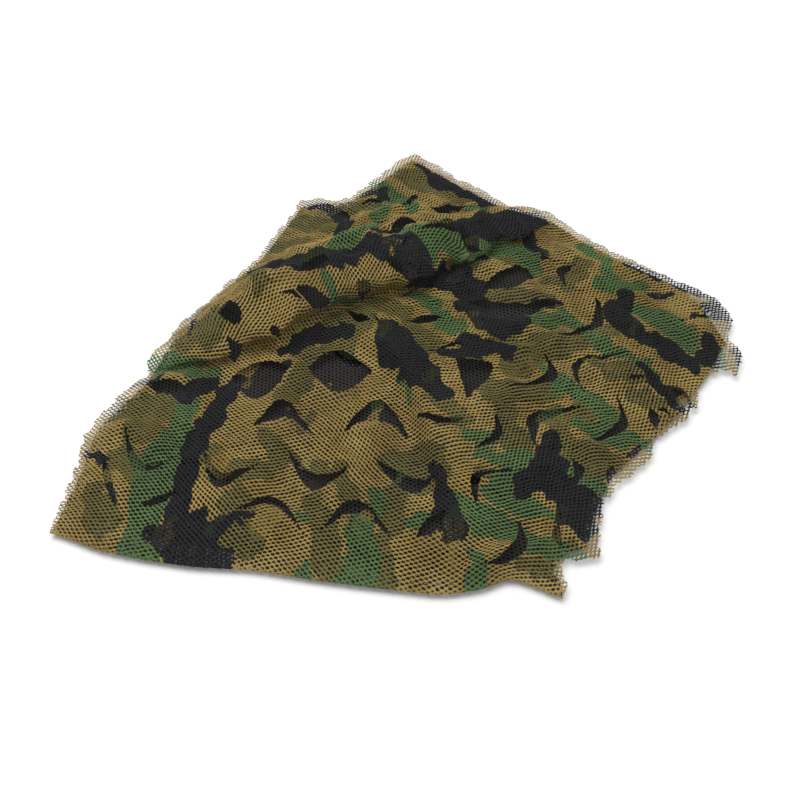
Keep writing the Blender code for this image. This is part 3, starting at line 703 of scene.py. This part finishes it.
class Sheet:
    """The folded sheet, and its flat layout through which the net is carried to it."""

    def __init__(self, places, plans, flat, layers, faces):
        self.flat = flat
        self.faces = faces
        self.values = np.column_stack((places, plans, layers, self.normals(places, faces)))
        self.tree = BVHTree.FromPolygons([(x, y, 0.0) for x, y in flat], faces.tolist())

    @staticmethod
    def normals(places, faces):
        """Upper-side unit normal at each point."""
        a, b, c = (places[faces[:, k]] for k in range(3))
        tilt = np.cross(b - a, c - a)
        total = np.zeros_like(places)
        for corner in range(3):
            np.add.at(total, faces[:, corner], tilt)
        return total / np.maximum(np.linalg.norm(total, axis=1), TINY)[:, None]

    def carry(self, points):
        """For points of the flat cloth: how far off the cloth, and the values there."""
        found = [self.tree.find_nearest((x, y, 0.0)) for x, y in points]
        off = np.array([hit[3] for hit in found])
        tri = self.faces[np.array([hit[2] for hit in found])]
        spot = np.array([hit[0][:2] for hit in found])
        a, b, c = (self.flat[tri[:, k]] for k in range(3))
        whole = cross(b - a, c - a)
        whole = np.where(np.abs(whole) < TINY, TINY, whole)
        second = cross(spot - a, c - a) / whole
        third = cross(b - a, spot - a) / whole
        weights = np.clip(np.column_stack((1.0 - second - third, second, third)), 0.0, 1.0)
        weights /= weights.sum(axis=1)[:, None]
        return off, (self.values[tri] * weights[:, :, None]).sum(axis=1)


def turn(angle):
    """Matrix that turns row vectors by the angle."""
    return np.array(((math.cos(angle), math.sin(angle)), (-math.sin(angle), math.cos(angle))))


def net_cells(sheet):
    """Centres of the six-sided cells whose middle is on the flat cloth, with their row numbers."""
    low = sheet.flat.min(axis=0) - PITCH
    high = sheet.flat.max(axis=0) + PITCH
    reach = int(np.hypot(*(high - low)) / PITCH) + 2
    i, j = (k.ravel() for k in np.meshgrid(np.arange(-reach, reach), np.arange(-reach, reach)))
    centre = np.column_stack((i + 0.5 * j, ROW_RATIO * j)) * PITCH @ turn(GRAIN)
    centre += 0.5 * (low + high)
    keep = ((centre > low) & (centre < high)).all(axis=1)
    i, j, centre = i[keep], j[keep], centre[keep]
    off = sheet.carry(centre)[0]
    keep = off < CELL_OFF * PITCH
    return i[keep], j[keep], centre[keep]


def hole_shape(plans, layers):
    """Long direction and long-to-short ratio of the holes, as the cloth is pulled there."""
    right = right_of(plans, *HOLES_SPLIT)
    angle = HOLES_LEFT * (1.0 - right) + HOLES_RIGHT * right
    on_roll = np.clip(fold_height(plans, ROLL)[0] / ROLL_FULL - 0.5, 0.0, 1.0)
    angle = angle * (1.0 - on_roll) + HOLES_ROLL * on_roll
    ratio = HOLE_RATIO + RATIO_RIGHT * right + waves(plans, RATIO_NOISE)
    under = layers > 0.5
    ratio[under] = RATIO_UNDER + waves(plans[under], UNDER_RATIO_NOISE)
    return angle + waves(plans, TURN_NOISE), np.clip(ratio, *RATIO_RANGE)


def make_net(sheet):
    """Points on the flat cloth and four-sided faces of the net, and each point's strand share."""
    rng = np.random.default_rng(5)
    i, j, centre = net_cells(sheet)
    _, values = sheet.carry(centre)
    radius = PITCH / math.sqrt(3.0)
    up = np.array((0.0, radius)) @ turn(GRAIN)
    step_i = np.array((PITCH, 0.0)) @ turn(GRAIN)
    step_j = np.array((0.5, ROW_RATIO)) * PITCH @ turn(GRAIN)
    corner_rows = []
    for di, dj, side in ((0, 1, -1), (0, 0, 1), (-1, 1, -1), (0, -1, 1), (0, 0, -1), (1, -1, 1)):
        at = centre + di * step_i + dj * step_j + side * up
        corner_rows.append(np.column_stack((i + di, j + dj, np.full(len(i), side), at)))
    corners = np.stack(corner_rows, axis=1).reshape(-1, 5)
    keys = corners[:, :3].astype(int)
    _, first, which = np.unique(keys, axis=0, return_index=True, return_inverse=True)
    outer = corners[first, 3:] + rng.normal(0.0, JITTER, (len(first), 2))
    outer_id = which.reshape(-1, 6)

    angle, ratio = hole_shape(values[:, 3:5], values[:, 5])
    layer = np.clip(values[:, 5].round().astype(int), 0, 2)
    size = HOLE * np.array(UNDER_HOLE)[layer] * (1.0 + rng.normal(0.0, HOLE_SCATTER, len(i)))
    size *= 1.0 + waves(centre, SIZE_NOISE)
    size[np.abs(values[:, 5] - values[:, 5].round()) > ON_FOLD] *= FOLD_HOLE
    around = np.radians(30.0 + 60.0 * np.arange(6)) + GRAIN
    middle = outer[outer_id].mean(axis=1)
    ring = np.column_stack((np.cos(around), np.sin(around)))
    long_way = np.column_stack((np.cos(angle), np.sin(angle)))
    wide_way = np.column_stack((-np.sin(angle), np.cos(angle)))
    stretch = np.sqrt(ratio)
    reach = sum((ring @ way.T).T[:, :, None] * way[:, None, :] * half[:, None, None]
                for way, half in ((long_way, size * stretch), (wide_way, size / stretch)))
    most = HOLE_MOST * np.linalg.norm(outer[outer_id] - middle[:, None, :], axis=2)
    reach *= np.minimum(1.0, most / np.linalg.norm(reach, axis=2))[:, :, None]
    inner = middle[:, None, :] + reach
    inner_id = len(outer) + np.arange(len(i) * 6).reshape(-1, 6)
    points = np.vstack((outer, inner.reshape(-1, 2)))
    quads = [
        np.column_stack((outer_id[:, k], outer_id[:, (k + 1) % 6],
                         inner_id[:, (k + 1) % 6], inner_id[:, k]))
        for k in range(6)
    ]
    strand = np.concatenate((np.ones(len(outer)), np.zeros(len(i) * 6)))
    return points, np.vstack(quads), strand


def bowed_line(first, middle, last):
    """Points of a conic curve from the first point to the last one, past the middle one."""
    control = ((2.0 + 2.0 * CUT_BOW) * middle - first - last) / (2.0 * CUT_BOW)
    t = np.linspace(0.0, 1.0, CUT_POINTS)[:, None]
    one, two, three = (1.0 - t) ** 2, 2.0 * CUT_BOW * t * (1.0 - t), t ** 2
    return (one * first + two * control + three * last) / (one + two + three)


def open_cuts(places, plans, quads, chosen, rows, lifts):
    """Draw the leaf cuts' edges clean, lift the leaves, and find the faces that are in a cut."""
    gone = np.zeros(len(quads), bool)
    middles = plans[quads].mean(axis=1)
    on_layer = chosen[quads].all(axis=1)
    for row, lift in zip(rows, lifts):
        first, fixed, leaf, last = np.array(row, float).reshape(4, 2)
        there = bowed_line(first, fixed, last)
        back = bowed_line(first, leaf, last)
        outline = np.vstack((there, back[-2:0:-1]))
        low, high = outline.min(axis=0), outline.max(axis=0)
        faces = np.flatnonzero(on_layer & ((middles > low) & (middles < high)).all(axis=1))
        gone[faces[inside(middles[faces], outline)]] = True
        close = ((plans > low - LEAF_REACH) & (plans < high + LEAF_REACH)).all(axis=1)
        near = np.flatnonzero(chosen & close)
        at = plans[near]
        within = inside(at, outline)
        places[near[within], :2] -= near_line(at, closed(outline))[2][within]
        stretch, along, _, from_leaf = near_line(at, back)
        leafward = from_leaf <= near_line(at, there)[3]
        bell = np.sin(math.pi * (stretch + along) / (CUT_POINTS - 1)) ** LEAF_TIPS
        fall = np.exp(-from_leaf / LEAF_BEND) * bell
        places[near, 2] += np.where(leafward, lift * fall, 0.0)
    return gone


def blotches(points, rows):
    """Distance inside the nearest blotch, smoothly joined, in millimetres."""
    total = np.zeros(len(points))
    for x1, y1, r1, x2, y2, r2 in rows:
        _, along, _, dist = near_line(points, np.array(((x1, y1), (x2, y2)), float))
        depth = r1 + along * (r2 - r1) - dist
        total += np.exp(np.clip(depth / PRINT_JOIN, -30.0, 12.0))
    return PRINT_JOIN * np.log(np.maximum(total, TINY))


def print_fields(plans, flat, layers):
    """How far inside the black, green and olive print each point is."""
    at = plans + np.column_stack([waves(plans, rows) for rows in PRINT_NOISE])
    # below the top layer the print is mostly black, which is partly painted shade
    return [np.where(layers > 0.9, start + waves(flat, noise), blotches(at, rows))
            for rows, (start, noise) in zip((BLACK, GREEN, OLIVE), UNDER_PRINT_AND_SHADE)]


# -------- finish

def linear(red, green, blue):
    """A display colour of 0 to 255 as the linear colour that shaders take."""
    part = np.array((red, green, blue)) / 255.0
    low = part / 12.92
    high = ((part + 0.055) / 1.055) ** 2.4
    return (*np.where(part <= 0.04045, low, high).tolist(), 1.0)


TAN_LIGHT = linear(154, 133, 76)
TAN_DARK = linear(134, 111, 57)
OLIVE_INK = linear(103, 95, 52)
GREEN_INK = linear(83, 107, 63)
# black print; on the layers below and in the valleys by the roll it is also painted shade
BLACK_INK_AND_SHADE = linear(33, 34, 36)
BACK_TINT = linear(58, 55, 49)
BACK_MIX = 0.4  # share of the back's tint on the back of the cloth
INK_EDGE = 0.35  # half the width of a blotch's soft edge, in millimetres
STRAND_PAINTED_SHADE = (0.5, 1.28)  # painted shade at the edge of a hole and painted highlight on the middle of a strand
# Noise of the shader: scale for each millimetre, detail, roughness; then half the range used of it,
# and the lowest and highest value.
BLEED = (0.55, 3.0, 0.6, 0.2, -0.6, 0.6)  # millimetres that ink runs along the threads
FADE = (0.03, 3.0, 0.5, 0.15, 0.0, 1.0)
SPECK = (0.9, 2.0, 0.5, 0.25, 0.82, 1.18)
PATCH = (0.018, 2.0, 0.5, 0.2, 0.82, 1.16)
GLOSS = (0.7, 2.0, 0.5, 0.2, 0.62, 0.82)
THREADS = (2.6, 2.0, 0.6)
STITCHES = (1.1, 2.0, 0.5)
STITCH_SHARE = 0.8
BUMP_STRENGTH = 0.35
BUMP_HEIGHT = 0.0004
SPECULAR = 0.14
SHEEN = 0.03
SHEEN_ROUGH = 0.5


def knit_material(name):
    """Printed knitted mesh: four print colours (the black partly painted shade), painted shade and highlight
    on the strands, fine thread bump.
    """
    material = bpy.data.materials.new(name)
    material.use_nodes = True
    tree = material.node_tree
    tree.nodes.clear()

    def node(kind, inputs, **settings):
        made = tree.nodes.new(kind)
        for key, value in settings.items():
            setattr(made, key, value)
        for key, value in inputs.items():
            if isinstance(value, bpy.types.NodeSocket):
                tree.links.new(value, made.inputs[key])
            else:
                made.inputs[key].default_value = value
        return made

    def field(name):
        return node("ShaderNodeAttribute", {}, attribute_name=name)

    cloth = field("cloth").outputs["Vector"]

    def noise(scale, detail, rough):
        inputs = {"Vector": cloth, "Scale": scale, "Detail": detail, "Roughness": rough}
        return node("ShaderNodeTexNoise", inputs).outputs["Fac"]

    def math_node(kind, first, second):
        return node("ShaderNodeMath", {0: first, 1: second}, operation=kind).outputs[0]

    def ranged(value, low, high, to_low, to_high):
        inputs = {"Value": value, "From Min": low, "From Max": high, "To Min": to_low, "To Max": to_high}
        return node("ShaderNodeMapRange", inputs).outputs["Result"]

    def spread(scale, detail, rough, half, low, high):
        return ranged(noise(scale, detail, rough), 0.5 - half, 0.5 + half, low, high)

    def mixed(share, first, second, kind="MIX"):
        inputs = {0: share, 6: first, 7: second}
        return node("ShaderNodeMix", inputs, data_type="RGBA", blend_type=kind).outputs[2]

    bleed = spread(*BLEED)
    colour = mixed(spread(*FADE), TAN_DARK, TAN_LIGHT)
    for print_name, ink in (("olive", OLIVE_INK), ("green", GREEN_INK), ("black", BLACK_INK_AND_SHADE)):
        depth = math_node("ADD", field(print_name).outputs["Fac"], bleed)
        colour = mixed(ranged(depth, -INK_EDGE, INK_EDGE, 0.0, 1.0), colour, ink)
    back = node("ShaderNodeNewGeometry", {}).outputs["Backfacing"]
    colour = mixed(math_node("MULTIPLY", back, BACK_MIX), colour, BACK_TINT)

    # painted shade towards the holes' edges and painted highlight along the strands' middles, times random
    # specks and patches of tone
    strand_shade_and_tone = ranged(field("strand").outputs["Fac"], 0.0, 1.0, *STRAND_PAINTED_SHADE)
    strand_shade_and_tone = math_node("MULTIPLY", strand_shade_and_tone, spread(*SPECK))
    strand_shade_and_tone = math_node("MULTIPLY", strand_shade_and_tone, spread(*PATCH))
    grey = node("ShaderNodeCombineColor", {0: strand_shade_and_tone, 1: strand_shade_and_tone, 2: strand_shade_and_tone}).outputs[0]
    colour = mixed(1.0, colour, grey, "MULTIPLY")

    stitches = math_node("MULTIPLY", noise(*STITCHES), STITCH_SHARE)
    threads = math_node("ADD", noise(*THREADS), stitches)
    relief = {"Strength": BUMP_STRENGTH, "Distance": BUMP_HEIGHT, "Height": threads}
    shader = node("ShaderNodeBsdfPrincipled", {
        "Base Color": colour,
        "Normal": node("ShaderNodeBump", relief).outputs["Normal"],
        "Roughness": spread(*GLOSS),
        "Specular IOR Level": SPECULAR,
        "Sheen Weight": SHEEN,
        "Sheen Roughness": SHEEN_ROUGH,
    })
    node("ShaderNodeOutputMaterial", {"Surface": shader.outputs["BSDF"]})
    return material


def add_object(name, data):
    """A new object in the scene."""
    made = bpy.data.objects.new(name, data)
    bpy.context.scene.collection.objects.link(made)
    return made


def net_piece(name, quads, places, flat, fields, material):
    """One piece of the net from the faces given, with its fields and its cloth coordinates."""
    used, faces = np.unique(quads, return_inverse=True)
    faces = faces.reshape(-1, 4)
    mesh = bpy.data.meshes.new(name)
    mesh.from_pydata((places[used] * MM).tolist(), [], faces.tolist())
    mesh.polygons.foreach_set("use_smooth", np.ones(len(faces), bool))
    for key, values in fields.items():
        mesh.attributes.new(key, "FLOAT", "POINT").data.foreach_set("value", values[used])
    cloth = np.column_stack((flat[used], np.zeros(len(used))))
    mesh.attributes.new("cloth", "FLOAT_VECTOR", "POINT").data.foreach_set("vector", cloth.ravel())
    low = flat[used].min(axis=0)
    extent = flat[used].max(axis=0) - low
    corner_of = np.empty(len(mesh.loops), np.int32)
    mesh.loops.foreach_get("vertex_index", corner_of)
    layout = (flat[used] - low) / extent.max()
    mesh.uv_layers.new(name="OFBake").data.foreach_set("uv", layout[corner_of].ravel())
    mesh.materials.append(material)
    mesh.update()
    piece = add_object(name, mesh)
    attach(piece, "root")
    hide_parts("net")


# -------- build

def torn_off(plans, on_top, top_outline):
    """Whether each point is in the ragged rim that is torn off the top layer's free edges."""
    edge = np.full(len(plans), FAR)
    edge[on_top] = edge_distance(plans[on_top], top_outline)
    front = near_line(plans, rounded(np.array(TOP_OUTLINE[:FRONT_COUNT], float), FRONT_STEP))[3]
    width = np.clip(TATTER + waves(plans, TATTER_NOISE), 0.0, TATTER_MOST)
    return on_top & (edge < width) & (front > FRONT_WHOLE)


def leaf_lifts():
    """How far each leaf of the top layer rises, or sinks where the number is below zero."""
    rng = np.random.default_rng(9)
    lifts = rng.uniform(*LEAF_LIFT, len(LEAF_CUTS))
    return lifts * np.where(rng.random(len(LEAF_CUTS)) < LEAF_UP, 1.0, LEAF_DOWN)


def build_net():
    """The whole net, as its four pieces."""
    places, plans, flats, layers, faces, folds, top_outline = folded_sheet()
    faces = same_way(flats, faces)
    sheet = Sheet(places, plans, laid_flat(places, flats, faces, folds), layers, faces)
    points, quads, strand = make_net(sheet)
    off, values = sheet.carry(points)
    places, plans, layers, normals = values[:, :3].copy(), values[:, 3:5], values[:, 5], values[:, 6:9]
    normals /= np.maximum(np.linalg.norm(normals, axis=1), TINY)[:, None]

    quads = quads[(off[quads] < PITCH).all(axis=1) & (off[quads] < ON_EDGE).any(axis=1)]
    on_top = layers < 0.5
    quads = quads[~torn_off(plans, on_top, top_outline)[quads].any(axis=1)]
    quads = quads[~open_cuts(places, plans, quads, on_top, LEAF_CUTS, leaf_lifts())]
    in_middle = (layers > 0.5) & (layers < 1.5)
    quads = quads[~open_cuts(places, plans, quads, in_middle, UNDER_CUTS, np.zeros(len(UNDER_CUTS)))]

    places += normals * (STRAND_RISE * (strand - 0.5))[:, None]
    places[:, 2] = np.maximum(places[:, 2], FLOOR_CLEAR)
    places[:, :2] -= BOX_MIDDLE
    black, green, olive = print_fields(plans, points, layers)
    fields = {"black": black, "green": green, "olive": olive, "strand": strand}

    material = knit_material("printed_mesh_knit")
    level = layers[quads].mean(axis=1)
    left = plans[quads].mean(axis=1)[:, 0] < TOP_SPLIT
    bands = (("net_top_left", (level < 0.5) & left), ("net_top_right", (level < 0.5) & ~left),
             ("net_middle", (level >= 0.5) & (level < 1.5)), ("net_bottom", level >= 1.5))
    for name, chosen in bands:
        net_piece(name, quads[chosen], places, points, fields, material)


# -------- floor, light and camera

FLOOR_HALF = 6.0  # metres, as all places here
FLOOR_WHITE = 0.95
FLOOR_ROUGH = 0.9
LIGHT_AT = (-0.5, 0.3, 2.4)
LIGHT_SIZE = 2.0
LIGHT_POWER = 46.0
WORLD_LIGHT = 0.55


def add_floor():
    """The plain pale floor."""
    mesh = bpy.data.meshes.new("floor")
    corners = [(x * FLOOR_HALF, y * FLOOR_HALF, 0.0) for x, y in ((-1, -1), (1, -1), (1, 1), (-1, 1))]
    mesh.from_pydata(corners, [], [(0, 1, 2, 3)])
    finish = bpy.data.materials.new("floor_white")
    finish.use_nodes = True
    shader = finish.node_tree.nodes["Principled BSDF"]
    shader.inputs["Base Color"].default_value = (FLOOR_WHITE, FLOOR_WHITE, FLOOR_WHITE, 1.0)
    shader.inputs["Roughness"].default_value = FLOOR_ROUGH
    shader.inputs["Specular IOR Level"].default_value = 0.0
    mesh.materials.append(finish)
    add_object("floor", mesh)


def add_light():
    """A square soft light that faces the middle of the floor, and even white light all round."""
    lamp = bpy.data.lights.new("soft_main", "AREA")
    lamp.size = LIGHT_SIZE
    lamp.energy = LIGHT_POWER
    light = add_object("soft_main", lamp)
    light.location = LIGHT_AT
    light.rotation_euler = (-Vector(LIGHT_AT)).to_track_quat("-Z", "Y").to_euler()
    world = bpy.data.worlds.new("studio")
    world.use_nodes = True
    background = world.node_tree.nodes["Background"]
    background.inputs["Color"].default_value = (1.0, 1.0, 1.0, 1.0)
    background.inputs["Strength"].default_value = WORLD_LIGHT
    bpy.context.scene.world = world


def add_camera():
    """The camera, at the photograph's estimated viewing angle."""
    lens = bpy.data.cameras.new("camera")
    lens.lens = CAMERA_LENS
    camera = add_object("camera", lens)
    camera.location = (
        -BOX_MIDDLE[0] * MM,
        -CAMERA_AWAY * math.cos(CAMERA_RISE) - BOX_MIDDLE[1] * MM,
        CAMERA_AWAY * math.sin(CAMERA_RISE),
    )
    camera.rotation_euler = (0.5 * math.pi - CAMERA_RISE, 0.0, 0.0)
    bpy.context.scene.camera = camera


build_net()
add_floor()
add_light()
bpy.context.scene.view_settings.view_transform = "Standard"
add_camera()
